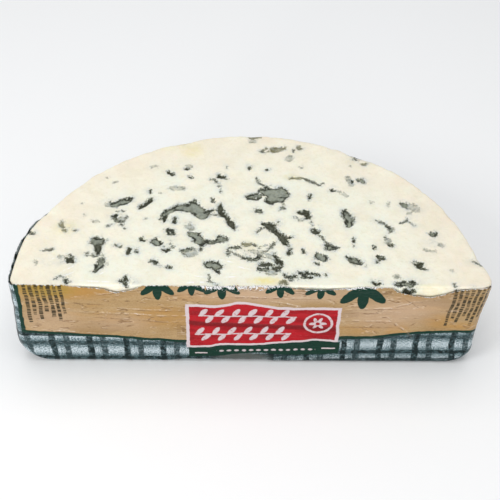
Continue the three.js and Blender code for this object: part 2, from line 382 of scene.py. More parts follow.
def moulded(points, topZ):
    # what the veins do at each point: the values that the paste reads, and how far it is sunk
    x = points[:, 0] / mm
    y = (points[:, 1] - slab["frontY"]) / mm
    y = y - np.clip(topZ - points[:, 2], 0, None) / mm * (y < 2)
    flat = np.column_stack([x, y, np.zeros(len(x))])
    loose = wander(flat, 3.0, 1) * 0.55 + wander(flat, 1.3, 2) * 0.42 + wander(flat, 0.7, 3) * 0.3
    field = np.full(len(x), -8.0)
    tone, olive = np.zeros(len(x)), np.zeros(len(x))
    cover, sink = np.ones(len(x)), np.zeros(len(x))
    halo = np.zeros(len(x))
    for strokes, look in veinLooks.values():
        wx, wy = x + loose[:, 0] * look["rough"], y + loose[:, 1] * look["rough"]
        for stroke in strokes:
            middle = np.mean(np.array(stroke), axis=0)
            size = max(math.dist(point[:2], middle[:2]) + point[2] for point in stroke) + 6
            near = (np.abs(x - middle[0]) < size) & (np.abs(y - middle[1]) < size)
            reach = strokeReach(wx[near], wy[near], stroke) + look["grow"]
            halo[near] = np.maximum(halo[near], np.exp(np.minimum(reach, 0) / 1.5) * look["cover"])
            wins = reach > field[near]
            index = np.flatnonzero(near)[wins]
            field[index] = reach[wins]
            tone[index], olive[index], cover[index] = look["tone"], look["olive"], look["cover"]
            sink[index] = look["depth"]
    for middleX, middleY, halfX, halfY, strength in bruises:
        away = ((x - middleX) / halfX) ** 2 + ((y - middleY) / halfY) ** 2
        halo = np.maximum(halo, strength * np.exp(-away * 1.4))
    values = {"veinField": field, "veinTone": tone, "veinOlive": olive, "veinCover": cover, "veinHalo": halo}
    return values, sink


def cutSheet(low, high, topZ):
    # the cut face starts as a fine sheet, made a block and trimmed by the drum
    width, depth = high.x - low.x, high.y - low.y
    cell = cheeseMake["cell"]
    deselectAll()
    bpy.ops.mesh.primitive_grid_add(
        x_subdivisions=round(width / cell), y_subdivisions=round(depth / cell), size=1,
        location=(0, (low.y + high.y) / 2, topZ))
    piece = bpy.context.object
    piece.name = piece.data.name = "cheese_slab"
    bpy.ops.transform.resize(value=(width * 1.02, depth * 1.02, 1))
    bpy.ops.transform.translate(value=(0, depth * 0.01, 0))
    bpy.ops.object.transform_apply(location=True, rotation=True, scale=True)
    bpy.ops.object.mode_set(mode="EDIT")
    bpy.ops.mesh.select_mode(type="EDGE")
    bpy.ops.mesh.select_all(action="DESELECT")
    bpy.ops.mesh.select_non_manifold()
    bpy.ops.mesh.extrude_edges_move(TRANSFORM_OT_translate={"value": (0, 0, -20 * mm)})
    bpy.ops.mesh.edge_face_add()
    bpy.ops.mesh.select_all(action="SELECT")
    bpy.ops.mesh.normals_make_consistent(inside=False)
    deselectAll()
    bpy.ops.mesh.primitive_cylinder_add(
        vertices=360, radius=width / 2, depth=60 * mm, location=(0, slab["centreY"], topZ))
    drum = bpy.context.object
    pick(piece)
    trim = piece.modifiers.new("trim", "BOOLEAN")
    trim.operation, trim.object, trim.solver = "INTERSECT", drum, "EXACT"
    bpy.ops.object.modifier_apply(modifier=trim.name)
    bpy.data.objects.remove(drum)
    return piece


def drawSideDown(piece, topZ, inset):
    # only the sheet is kept, then its rim is drawn down in rows
    selectFaces(piece, lambda face: face.normal.z < 0.9)
    bpy.ops.mesh.delete(type="FACE")
    bpy.ops.mesh.select_all(action="SELECT")
    bpy.ops.mesh.remove_doubles(threshold=0.16 * mm)
    bpy.ops.mesh.select_all(action="DESELECT")
    bpy.ops.mesh.select_mode(type="EDGE")
    bpy.ops.mesh.select_non_manifold()
    steps = [cheeseMake["edge"]] + [cheeseMake["sideStep"]] * cheeseMake["sideRows"]
    belowRows = topZ - sum(steps) - slab["shoulder"]
    steps += [belowRows / 3] * 3
    shoulder = slab["shoulder"] - inset
    turns = [shoulder * math.sin(math.radians(90 * k / 7)) for k in range(8)]
    steps += [b - a for a, b in zip(turns, turns[1:])]
    for step in steps:
        bpy.ops.mesh.extrude_edges_move(TRANSFORM_OT_translate={"value": (0, 0, -step)})
    bpy.ops.mesh.edge_face_add()
    bpy.ops.mesh.select_all(action="SELECT")
    bpy.ops.mesh.normals_make_consistent(inside=False)
    bpy.ops.object.mode_set(mode="OBJECT")


def roundSides(points, onFront, inset):
    # the rounded edges of the straight side and the round one
    x, y, z = points.T
    front, radius = slab["frontY"] + inset, slab["radius"] - inset
    moved = points.copy()
    # the shoulder above the base
    shrink = drumRadius(z, inset) / radius
    moved[:, 0] = x * shrink
    moved[:, 1] = np.where(onFront, y, slab["centreY"] + (y - slab["centreY"]) * shrink)
    # the straight side's lower edge, rounded so that the film can be hitched up there
    foot = cheeseMake["foot"]
    under = np.clip(foot - (z - inset), 0, foot)
    moved[:, 1] += np.where(onFront, foot - np.sqrt(foot ** 2 - under ** 2), 0)
    # the two upright corners
    corner = slab["corner"]
    nearFront = np.clip(corner - (y - front), 0, corner)
    moved[:, 0] *= 1 - (corner - np.sqrt(corner ** 2 - nearFront ** 2)) / radius
    return moved


def pushOut(moved, angle, amount, onFront):
    # away from the wheel's axis, but the straight side only slides along itself
    moved[:, 0] += amount * np.cos(np.radians(angle))
    moved[:, 1] += amount * np.sin(np.radians(angle)) * ~onFront


def shapeCheese(piece, topZ, inset):
    points = readPoints(piece)
    x, y, z = points.T
    front, radius = slab["frontY"] + inset, slab["radius"] - inset
    onTop = z > topZ - 1e-6
    onFront = y < front + 1e-5
    reach = np.hypot(x, y - slab["centreY"])
    angle = np.degrees(np.arctan2(y - slab["centreY"], x))
    angle = np.where(angle < -90, angle + 360, angle)
    moved = roundSides(points, onFront, inset)
    values, sink = moulded(moved, topZ)
    field = values["veinField"]
    # nicks in the rim
    ragged = 1 + 0.5 * grain(points, 1.6 * mm, 9)
    for middle, halfWidth, size in cheeseMake["nicks"]:
        amount = size * mm * np.exp(-((angle - middle) / halfWidth) ** 2) * ragged
        amount *= smooth(radius - 7 * mm, radius, reach) * smooth(topZ - 6 * mm, topZ, z)
        pushOut(moved, angle, -amount, onFront)
        moved[:, 2] -= amount * 0.5 * onTop
    # the softened edge, the wire's unevenness and the sunken mould
    edge = cheeseMake["edge"] * (1 + 0.5 * grain(points, 3 * mm, 4) + 0.4 * grain(points, 9 * mm, 13))
    rim = np.minimum(radius - reach, y - front)
    over = np.clip(edge - rim, 0, edge)
    drop = edge - np.sqrt(np.maximum(edge ** 2 - over ** 2, 0))
    wave = grain(points * (1, 0.35, 1), 16 * mm, 5) + 0.35 * grain(points, 4 * mm, 6)
    pores = np.clip(grain(points, 1.1 * mm, 7) - 0.45, 0, 1) * cheeseMake["poreDepth"] * mm
    torn = smooth(-0.35, 0.55, field) * sink * mm
    fuzz = grain(points, 0.9 * mm, 8) * cheeseMake["fuzz"] * mm * smooth(0, 0.5, field) * (sink > 0.1)
    moved[:, 2] += np.where(onTop, wave * cheeseMake["wave"] * 0.7 - drop - pores - torn + fuzz, 0)
    # veins that run over the straight side are sunk there too
    shows = onFront & ~onTop & (z > topZ - 8 * mm)
    moved[:, 1] += np.where(shows, torn * 0.6, 0)
    # the rim stands out over the wrapper's edge, but for the left of the front
    proud = cheeseMake["proud"] * mm * smooth(topZ - 2.2 * mm, topZ - 1.1 * mm, z) * smooth(150, 138, angle)
    proud *= smooth(radius - 3 * mm, radius, reach) * (1 + 0.5 * grain(points, 4 * mm, 12))
    pushOut(moved, angle, proud, onFront)
    # the straight side is a little uneven
    below = ~onTop & (z > slab["shoulder"])
    rough = cheeseMake["sideRough"] * mm * (1 + grain(points, 2.5 * mm, 11))
    moved[:, 1] += np.where(below & onFront, rough, 0)
    writePoints(piece, slump(moved))
    for name, value in values.items():
        writeValue(piece, name, value)


def makeCheese():
    low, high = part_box("cheese")
    inset = low.y - slab["frontY"]
    topZ = high.z - cheeseMake["wave"]
    piece = cutSheet(low, high, topZ)
    drawSideDown(piece, topZ, inset)
    shapeCheese(piece, topZ, inset)
    return piece


# ---- shader helpers; a Wire is a node's output, so that it can be used in a sum
class Wire:
    def __init__(self, socket):
        self.socket = socket
        self.tree = socket.id_data

    def __add__(self, other):
        return calc("ADD", self, other)

    def __sub__(self, other):
        return calc("SUBTRACT", self, other)

    def __rsub__(self, other):
        return calc("SUBTRACT", other, self)

    def __mul__(self, other):
        return calc("MULTIPLY", self, other)

    def __truediv__(self, other):
        return calc("DIVIDE", self, other)

    def __pow__(self, other):
        return calc("POWER", self, other)

    def __mod__(self, other):
        return calc("MODULO", self, other)

    def __abs__(self):
        return calc("ABSOLUTE", self)

    __radd__ = __add__
    __rmul__ = __mul__


def feed(value, socket):
    if isinstance(value, Wire):
        value.tree.links.new(value.socket, socket)
    elif value is not None:
        socket.default_value = value


def addNode(tree, kind, inputs=None, **settings):
    # inputs go by name or by number
    node = tree.nodes.new(kind)
    for name, value in settings.items():
        setattr(node, name, value)
    for name, value in (inputs or {}).items():
        feed(value, node.inputs[name])
    return node


def calc(operation, *values):
    tree = next(value.tree for value in values if isinstance(value, Wire))
    return Wire(addNode(tree, "ShaderNodeMath", dict(enumerate(values)), operation=operation).outputs[0])


def most(first, *others):
    for other in others:
        first = calc("MAXIMUM", first, other)
    return first


def mixColour(amount, first, second):
    inputs = {0: amount, 6: first, 7: second}
    return Wire(addNode(amount.tree, "ShaderNodeMix", inputs, data_type="RGBA").outputs[2])


def ramp(value, low, high, toLow=0.0, toHigh=1.0, soft=True):
    inputs = dict(enumerate((value, low, high, toLow, toHigh)))
    way = "SMOOTHSTEP" if soft else "LINEAR"
    return Wire(addNode(value.tree, "ShaderNodeMapRange", inputs, interpolation_type=way).outputs[0])


def band(value, low, high, soft=0.12 * mm):
    # 1 between low and high
    return ramp(calc("MINIMUM", value - low, high - value), -soft, soft)


def noiseAt(place, scale, detail=2.0, roughness=0.5, result="Fac"):
    inputs = {"Vector": place, "Scale": scale, "Detail": detail, "Roughness": roughness}
    return Wire(addNode(place.tree, "ShaderNodeTexNoise", inputs).outputs[result])


def storedAt(tree, name):
    # a value that the mesh carries at each point
    return Wire(addNode(tree, "ShaderNodeAttribute", attribute_name=name).outputs["Fac"])


def calcVector(operation, place, values):
    node = addNode(place.tree, "ShaderNodeVectorMath", {0: place, 1: values}, operation=operation)
    return Wire(node.outputs[0])


def joined(x, y):
    return Wire(addNode(y.tree, "ShaderNodeCombineXYZ", {0: x, 1: y}).outputs[0])


def axes(vector):
    # the three numbers of a place or of a pattern's colour
    return [Wire(socket) for socket in addNode(vector.tree, "ShaderNodeSeparateXYZ", {0: vector}).outputs]


def curveAt(value, points):
    # a smooth line through given points in millimetres, up to 50 mm high
    node = addNode(value.tree, "ShaderNodeFloatCurve")
    low, high, tall = points[0][0], points[-1][0], 50
    curve = node.mapping.curves[0]
    spots = [((x - low) / (high - low), z / tall) for x, z in points]
    curve.points[0].location, curve.points[-1].location = spots[0], spots[-1]
    for spot in spots[1:-1]:
        curve.points.new(*spot)
    for point in curve.points:
        point.handle_type = "AUTO_CLAMPED"
    node.mapping.update()
    feed(ramp(value, low * mm, high * mm, soft=False), node.inputs["Value"])
    return ramp(Wire(node.outputs[0]), 0, 1, 0, tall * mm, soft=False)


def newGroup(name, inputs, outName, outKind):
    # each input has its starting value: a number, a colour, or None for a vector
    tree = bpy.data.node_groups.new(name, "ShaderNodeTree")
    for label, value in inputs.items():
        kind = "Vector" if value is None else "Color" if isinstance(value, tuple) else "Float"
        socket = tree.interface.new_socket(label, in_out="INPUT", socket_type="NodeSocket" + kind)
        if value is not None:
            socket.default_value = value
    tree.interface.new_socket(outName, in_out="OUTPUT", socket_type="NodeSocket" + outKind)
    given = tree.nodes.new("NodeGroupInput").outputs
    out = tree.nodes.new("NodeGroupOutput").inputs[0]
    return tree, [Wire(socket) for socket in given][:len(inputs)], out


def useGroup(group, inputs):
    tree = next(value.tree for value in inputs.values() if isinstance(value, Wire))
    return Wire(addNode(tree, "ShaderNodeGroup", inputs, node_tree=group).outputs[0])


def rgb(red, green, blue):
    # a colour as seen, from 0 to 255, turned linear
    levels = [c / 255 for c in (red, green, blue)]
    return tuple(p / 12.92 if p <= 0.04045 else ((p + 0.055) / 1.055) ** 2.4 for p in levels) + (1.0,)


def newMaterial(name):
    material = bpy.data.materials.new(name)
    material.use_nodes = True
    tree = material.node_tree
    tree.nodes.clear()
    shader = tree.nodes.new("ShaderNodeBsdfPrincipled")
    output = tree.nodes.new("ShaderNodeOutputMaterial")
    tree.links.new(shader.outputs[0], output.inputs[0])
    return material, tree, shader


def addBump(shader, height, strength, distance):
    inputs = {"Height": height, "Strength": strength, "Distance": distance}
    feed(Wire(addNode(height.tree, "ShaderNodeBump", inputs).outputs[0]), shader.inputs["Normal"])


# ---- groups that the materials share
def makeSpotGroup():
    # a soft-edged, turned ellipse: 1 inside, 0 outside
    tree, (place, middleX, middleY, halfX, halfY, turn, softness), out = newGroup("softSpot", {
        "Place": None, "Middle X": 0.0, "Middle Y": 0.0, "Half X": 1.0, "Half Y": 1.0, "Turn": 0.0,
        "Softness": 0.2}, "Mask", "Float")
    x, y, _ = axes(place)
    x, y = x - middleX, y - middleY
    cosine, sine = calc("COSINE", turn), calc("SINE", turn)
    along, across = x * cosine + y * sine, y * cosine - x * sine
    reach = calc("SQRT", (along / halfX) ** 2 + (across / halfY) ** 2)
    feed(ramp(reach, 1 - softness, 1 + softness, 1, 0), out)
    return tree


softSpot = makeSpotGroup()


def spotAt(place, x, y, halfX, halfY, softness=0.5, turn=0.0):
    return useGroup(softSpot, {
        "Place": place, "Middle X": x * mm, "Middle Y": y * mm, "Half X": halfX * mm, "Half Y": halfY * mm,
        "Turn": turn, "Softness": softness})


def streakAt(place, ax, ay, bx, by, halfWidth, reach=0.5):
    # a thin ellipse that runs from one point to another
    return spotAt(place, (ax + bx) / 2, (ay + by) / 2, math.dist((ax, ay), (bx, by)) * reach, halfWidth,
                  0.6, math.atan2(by - ay, bx - ax))


# ---- cheese paste
pasteLook = {
    "cream": rgb(247, 241, 221),
    "rim": rgb(244, 232, 211),
    "heart": rgb(242, 242, 225),
    "shade": rgb(230, 222, 196),
    "mouldDark": rgb(40, 43, 31),
    "mouldGray": rgb(152, 156, 137),
    "mouldOlive": rgb(122, 116, 62),
    "mouldFur": rgb(150, 156, 145),
    "bloom": rgb(194, 201, 201),
    "butter": rgb(240, 226, 150),
    # white of the painted film glints
    "paintedGlint": rgb(255, 253, 250),
    # painted highlights: pale streaks standing in for glints off clinging film: from x, y to x, y, half
    # width
    "glintStreaks": [(-80, 14.6, -77, 17, 0.35), (-74.5, 8, -69.5, 12.2, 0.4), (-73.4, 5.6, -69.6, 8.2, 0.3),
              (-66, 3.4, -54, 2.8, 0.35), (-11.6, 15.6, -6.4, 14.2, 0.4), (-9.8, 17, -5.6, 16.2, 0.3),
              (-4.4, 11.8, 0.6, 10.2, 0.35), (-28, 2.4, -14, 3.2, 0.45), (-47, 10.4, -40, 9.6, 0.3),
              (-60, 6.4, -57, 8.6, 0.25), (-10, 5.8, -4, 6.2, 0.3), (-22, 6.4, -17, 5.8, 0.25)],
    # yellowed places: x, y back from the straight cut, half sizes, strength
    "butterSpots": [(6.5, 4, 6, 1.8, 0.8), (-26, 87, 5, 5, 0.35), (-77, 34, 4, 4, 0.4),
                    (72, 1.5, 6, 1.5, 0.22), (20, 68, 4, 2, 0.35), (1, 24, 4, 3, 0.3), (-38, 92, 8, 5, 0.2)],
    "finish": {"Subsurface Weight": 0.18, "Subsurface Radius": (1.0, 0.75, 0.45),
               "Subsurface Scale": 1.6 * mm, "Specular IOR Level": 0.4},
}


def pasteGround(place, fine, halo):
    # colour of the paste, warmer and a little darker towards the rim
    look = pasteLook
    x, y, _ = axes(place)
    reach = calc("SQRT", x ** 2 + (y - slab["centreY"]) ** 2)
    reach = reach + ramp(noiseAt(place, 45, 3, 0.55), 0, 1, -0.02, 0.02)
    colour = mixColour(ramp(reach, 0.058, 0.094), look["heart"], look["rim"])
    colour = mixColour(ramp(noiseAt(place, 90, 4, 0.6), 0.35, 0.7), colour, look["cream"])
    colour = mixColour(ramp(fine, 0.48, 0.75, 0, 0.5), colour, look["shade"])
    colour = mixColour(ramp(noiseAt(place, 110, 5, 0.65), 0.43, 0.67, 0, 0.35), colour, look["shade"])
    flat = calcVector("ADD", place, (0, -slab["frontY"], 0))
    for *oval, strength in look["butterSpots"]:
        yellowed = spotAt(flat, *oval, 0.7) * strength * ramp(fine, 0.3, 0.6, 0.5, 1)
        colour = mixColour(yellowed, colour, look["butter"])
    # painted highlights: pale streaks for glints off the film
    glintStreaks = most(*(streakAt(flat, *paintedGlint) for paintedGlint in look["glintStreaks"]))
    colour = mixColour(glintStreaks * ramp(fine, 0.42, 0.58), colour, look["paintedGlint"])
    # gray bloom that seeps from the veins, and crumbs of mould in it
    patchy = noiseAt(place, 420, 4, 0.6)
    colour = mixColour(halo ** 1.35 * ramp(patchy, 0.33, 0.65, 0.15, 0.95), colour, look["bloom"])
    crumbs = ramp(noiseAt(place, 1500, 3, 0.7), 0.57, 0.63) * ramp(halo, 0.25, 0.8)
    return mixColour(crumbs * ramp(patchy, 0.42, 0.55, 0.1, 0.75), colour, look["mouldDark"])


def makePasteMaterial():
    material, tree, shader = newMaterial("blueCheesePaste")
    look = pasteLook
    place = Wire(addNode(tree, "ShaderNodeTexCoord").outputs["Object"])
    names = ("veinField", "veinTone", "veinOlive", "veinCover", "veinHalo")
    field, tone, olive, cover, halo = (storedAt(tree, name) for name in names)
    fine = noiseAt(place, 700, 3, 0.65)
    # the mould thickens inwards: gray and thin at its torn outline, dark, then furry and
    # lighter again where a hollow is wide
    torn = ramp(noiseAt(place, 1250, 5, 0.75), 0.2, 0.8, -0.85, 0.85, soft=False)
    bitten = ramp(noiseAt(place, 480, 3, 0.6), 0.2, 0.8, -0.55, 0.55, soft=False)
    thickness = field * 0.75
    density = thickness + 0.5 + torn + bitten
    mottle = ramp(noiseAt(place, 600, 5, 0.75), 0.45, 0.62) * 0.8
    mask = ramp(density, 0.2, 0.62) * (mottle * (1 - cover) + cover)
    fur = noiseAt(place, 1000, 5, 0.8)
    light = ramp(noiseAt(calcVector("MULTIPLY", place, (1, 0.5, 1)), 600, 4, 0.7), 0.36, 0.6, 0.25, 1)
    uneven = ramp(noiseAt(place, 260, 2, 0.5), 0.35, 0.65, -0.45, 0.5, soft=False)
    inner = ramp(thickness + bitten + uneven, 0.35, 0.9) * tone
    lightness = most(ramp(density, 0.35, 0.85, 0.85, 0), inner * light, ramp(cover, 0.6, 0.3) * 0.6)
    mould = mixColour(lightness + ramp(fur, 0.5, 0.75, 0, 0.3), look["mouldDark"], look["mouldGray"])
    furry = ramp(field, 0.6, 1.6) * ramp(fur, 0.35, 0.65, 0.25, 0.85) * inner
    mould = mixColour(furry, mould, look["mouldFur"])
    mould = mixColour(olive * ramp(fur, 0.3, 0.7, 0.25, 0.85), mould, look["mouldOlive"])
    feed(mixColour(mask, pasteGround(place, fine, halo), mould), shader.inputs["Base Color"])
    feed(ramp(noiseAt(place, 160, 3), 0.3, 0.7, 0.4, 0.56) + mask * 0.3, shader.inputs["Roughness"])
    # crumbly grain, finer than the mesh
    height = fine * 0.6 + noiseAt(place, 2200, 2) * 0.3 + mask * fur * 1.4
    addBump(shader, height, 0.35, 0.25 * mm)
    for name, value in look["finish"].items():
        shader.inputs[name].default_value = value
    return material


# ---- the wrapper
foilMake = {
    "inset": 0.35 * mm,  # the film's middle lies this far inside the skin
    "thickness": 0.16 * mm,
    "frontColumns": 290,
    "cornerColumns": 12,
    "roundColumns": 135,
    "sideRows": 56,
    "shoulderRows": 12,
    "baseRows": 16,
    "girth": 0.491,  # right round the slab, in metres
    "seamAt": 0.238,  # where the lapped seam is, in metres from the middle of the front
    "pleats": 46,  # gathers where the round side turns under the base
    # in millimetres
    "outMost": (-0.4, 0.9),  # how far wrinkles may go in and out
    "backEdge": 44.6,  # height of the cut edge round the back
    "hitch": 0.8,  # how far the film is pulled up off the table under the label
    "lipFold": 0.5,  # how far the cut edge folds in over the cheese
    "baseMiddle": 38,  # where the gathers meet under the slab, back from the straight side
    "baseHeight": 0.12,
    # height of the cut edge along the straight side: place, height
    "frontEdge": [(-95, 47.2), (-90, 47.0), (-80, 46.7), (-70, 46.6), (-63, 46.0), (-56, 44.9), (-52, 43.2),
                  (-46, 44.8), (-42, 46.4), (-36, 47.0), (-26, 46.6), (-18, 46.9), (-8, 47.3), (4, 47.2),
                  (12, 46.9), (22, 45.6), (30, 45.2), (38, 46.2), (46, 46.8), (56, 46.4), (60, 43.6),
                  (66, 42.2), (71, 41.4), (76, 42.6), (82, 45.2), (88, 46.2), (95, 46.6)],
    # creases of the straight side: from x, z to x, z, half width, height out (or in)
    "creases": [(-74, 37.2, -58, 35.6, 0.7, -0.26), (-66, 31.4, -24, 29, 0.8, 0.24),
                (-66, 28.4, -26, 24.8, 0.7, -0.24), (-52, 33.5, -26, 32.5, 0.8, 0.16),
                (-50, 22.4, -46.5, 23.6, 0.6, -0.35), (-41, 26, -39, 28.4, 0.4, -0.2),
                (-24, 24.6, 38, 21.4, 1.5, -0.32), (-24, 26.8, 38, 24, 1, 0.16), (10, 38, 36, 32, 0.7, 0.2),
                (-16, 12.6, 22, 16.4, 1.2, -0.2), (22, 17, 38, 16.4, 0.8, 0.2),
                (40, 31.4, 58, 31, 0.7, -0.18), (38, 33.6, 62, 35, 1, 0.24), (55, 34.4, 66, 38.4, 0.8, 0.3),
                (62, 40.5, 69, 34.5, 0.7, -0.2), (57.5, 28, 67, 18.4, 0.9, 0.3),
                (40, 22.6, 60, 23, 0.6, -0.18), (40, 27, 62, 26.4, 0.7, 0.14), (66, 24, 69, 26, 0.4, -0.2),
                (-60, 41.6, -44, 44.6, 0.8, 0.24), (-88, 20.5, -60, 18, 0.9, 0.12),
                (-40, 40, -8, 43.4, 1.0, -0.16), (-10, 41, 30, 40, 1.4, 0.16)],
}


def outlineSizes(radius):
    # half the straight run, and the angle where an upright corner meets the round side
    corner = slab["corner"]
    rise = corner - cutOffset
    reach = np.sqrt((radius - corner) ** 2 - rise ** 2)
    return reach, np.arctan2(rise, reach)


def skinPlace(share, z, inset):
    # share runs 0 to 1 along the straight run, 1 to 2 round the corner, 2 to 3 to the back;
    # its sign is the side. Gives the place and the outward direction
    side, share = np.sign(share), np.abs(share)
    radius = drumRadius(z, inset)
    corner = slab["corner"] - inset
    reach, turn = outlineSizes(radius + inset)
    run, bend, sweep = np.clip(share, 0, 1), np.clip(share - 1, 0, 1), np.clip(share - 2, 0, 1)
    tilt = -math.pi / 2 + bend * (turn + math.pi / 2)
    tilt = np.where(share > 2, turn + sweep * (math.pi / 2 - turn), tilt)
    outX, outY = np.cos(tilt), np.sin(tilt)
    outX = np.where(share <= 1, 0, outX)
    outY = np.where(share <= 1, -1, outY)
    cornerY = slab["frontY"] + slab["corner"]
    x = np.where(share <= 2, reach * run + corner * outX, radius * outX)
    y = np.where(share <= 2, cornerY + corner * outY, slab["centreY"] + radius * outY)
    # the straight side's lower edge rolls under
    curl = slab["frontCurl"]
    under = np.clip(curl - z, 0, curl)
    y += np.where(share <= 2, (curl - np.sqrt(curl ** 2 - under ** 2)) * -outY, 0)
    return x * side, y, outX * side, outY


def unrolled(share, x, z):
    # the print's own coordinate along the wrapper: x on the straight side, then on round the side
    reach, turn = outlineSizes(slab["radius"])
    side, share = np.sign(share), np.abs(share)
    bend = slab["corner"] * (math.pi / 2 + turn) * np.clip(share - 1, 0, 1)
    sweep = slab["radius"] * (math.pi / 2 - turn) * np.clip(share - 2, 0, 1)
    along = np.where(share <= 1, np.abs(x), reach + bend + sweep)
    shoulder = slab["shoulder"]
    low = np.clip(shoulder - z, 0, shoulder) / shoulder
    down = shoulder - shoulder * np.arcsin(np.clip(low, 0, 1))
    height = np.where((z < shoulder) & (share > 1.5), down, z)
    return along * side, height


def cutEdge(share, along):
    # height of the wrapper's cut edge
    table = np.array(foilMake["frontEdge"]) * mm
    front = np.interp(along, table[:, 0], table[:, 1])
    far = np.column_stack([along, np.zeros(len(along)), np.zeros(len(along))])
    back = foilMake["backEdge"] * mm + grain(far, 17 * mm, 21) * 0.6 * mm
    back += grain(far, 5 * mm, 22) * 0.35 * mm
    leftRim = smooth(-146 * mm, -128 * mm, along) * (along < 0) * (1.6 + 0.8 * grain(far, 6 * mm, 25)) * mm
    blend = smooth(1.2, 2.2, np.abs(share))
    torn = grain(far, 1.7 * mm, 23) * 0.3 + grain(far, 4.2 * mm, 24) * 0.35
    return front * (1 - blend) + (back + leftRim) * blend + torn * mm


def wrinkles(along, height, share, edge):
    # how far the film stands out from the slab, in metres
    flat = np.column_stack([along, height, np.zeros(len(along))])
    isFront = 1 - smooth(1.0, 1.6, np.abs(share))
    out = grain(flat, 14 * mm, 31) * 0.16 * mm
    # the straight side: long flat-lying ripples above, short upright crinkles in the check below
    ripples = grain(flat * (0.16, 1, 1), 2.6 * mm, 32) * 0.13 * mm
    ripples += grain(flat * (0.3, 1, 1), 1.5 * mm, 33) * 0.06 * mm
    crinkles = grain(flat * (1, 0.22, 1), 1.6 * mm, 34) * 0.09 * mm
    lower = smooth(19 * mm, 11 * mm, height)
    out += isFront * (ripples * (1 - lower) + crinkles * lower)
    for ax, az, bx, bz, halfWidth, amount in foilMake["creases"]:
        a, b = np.array((ax, az)) * mm, np.array((bx, bz)) * mm
        run = b - a
        offset = flat[:, :2] - a
        t = np.clip(offset @ run / (run @ run), 0, 1)
        bent = grain(flat, 7 * mm, 35 + ax) * 0.9 * mm
        away = (offset[:, 0] * -run[1] + offset[:, 1] * run[0]) / np.linalg.norm(run) + bent
        past = np.linalg.norm(offset - t[:, None] * run, axis=1)
        fade = np.sin(np.pi * np.clip(t * 0.9 + 0.05, 0, 1)) ** 0.6
        near = np.exp(-np.clip(past - 2 * halfWidth * mm, 0, None) / (1.2 * mm))
        out += isFront * amount * mm * np.exp(-np.abs(away / (halfWidth * mm)) ** 1.5) * fade * near
    # the round side: upright gathers that deepen towards the base, and a lapped seam at the back
    turnCount = along / (foilMake["girth"] / foilMake["pleats"])
    turnCount += 0.9 * grain(flat * (0.4, 0.5, 1), 9 * mm, 36)
    gathers = np.abs(np.sin(np.pi * turnCount)) ** 0.7 - 0.6
    deep = smooth(34 * mm, -4 * mm, height) * 0.42 + 0.1
    out += (1 - isFront) * (gathers * deep * mm + grain(flat * (1, 0.25, 1), 2.4 * mm, 37) * 0.16 * mm
                            + grain(flat * (0.25, 1, 1), 2.2 * mm, 38) * 0.1 * mm)
    seam = (np.abs(along) - foilMake["seamAt"]) * (along > 0)
    out += 0.45 * mm * smooth(-0.6 * mm, 0.1 * mm, seam) * (along > 0)
    # the cut edge is crumpled and stands a little away
    rise = smooth(4.5 * mm, 0, edge - height)
    crumple = grain(flat, 2.2 * mm, 39) * 0.3 + grain(flat, 1.0 * mm, 40) * 0.16
    lip = smooth(-24 * mm, -17 * mm, along) * smooth(12 * mm, 4 * mm, along) * isFront
    out += rise * (crumple * (1 + 1.2 * lip) + 0.16) * mm
    out += lip * smooth(4 * mm, 1 * mm, edge - height) * np.abs(grain(flat, 1.5 * mm, 42)) * 0.9 * mm
    return out


def layGrid():
    # a flat grid, with each point's row up the sheet and its share of the way round
    m = foilMake
    columns = 2 * (m["cornerColumns"] + m["roundColumns"]) + m["frontColumns"]
    rows = m["baseRows"] + m["shoulderRows"] + m["sideRows"]
    deselectAll()
    bpy.ops.mesh.primitive_grid_add(x_subdivisions=columns, y_subdivisions=rows, size=1)
    piece = bpy.context.object
    piece.name = piece.data.name = "printed_wrapper"
    sheet = readPoints(piece)
    column = np.rint((sheet[:, 0] + 0.5) * columns).astype(int)
    row = np.rint((sheet[:, 1] + 0.5) * rows).astype(int)
    # the columns run from the back seam round to the back seam
    half = m["frontColumns"] / 2
    steps = np.arange(columns + 1) - columns / 2
    shares = np.interp(np.abs(steps), [0, half, half + m["cornerColumns"], columns / 2], [0, 1, 2, 3])
    shares *= np.sign(steps)
    return piece, row, shares[column]


def rowHeights(row, share):
    # each point's height, and that of the cut edge above it
    m = foilMake
    sideStart = m["baseRows"] + m["shoulderRows"]
    turn = np.clip((row - m["baseRows"]) / m["shoulderRows"], 0, 1)
    z = slab["shoulder"] * (1 - np.cos(turn * math.pi / 2))
    topLevel = np.full(len(z), slab["topZ"])
    along, _ = unrolled(share, skinPlace(share, topLevel, 0)[0], topLevel)
    edge = cutEdge(share, along)
    climb = np.clip((row - sideStart) / m["sideRows"], 0, 1)
    return np.where(row > sideStart, slab["shoulder"] + (edge - slab["shoulder"]) * climb, z), edge


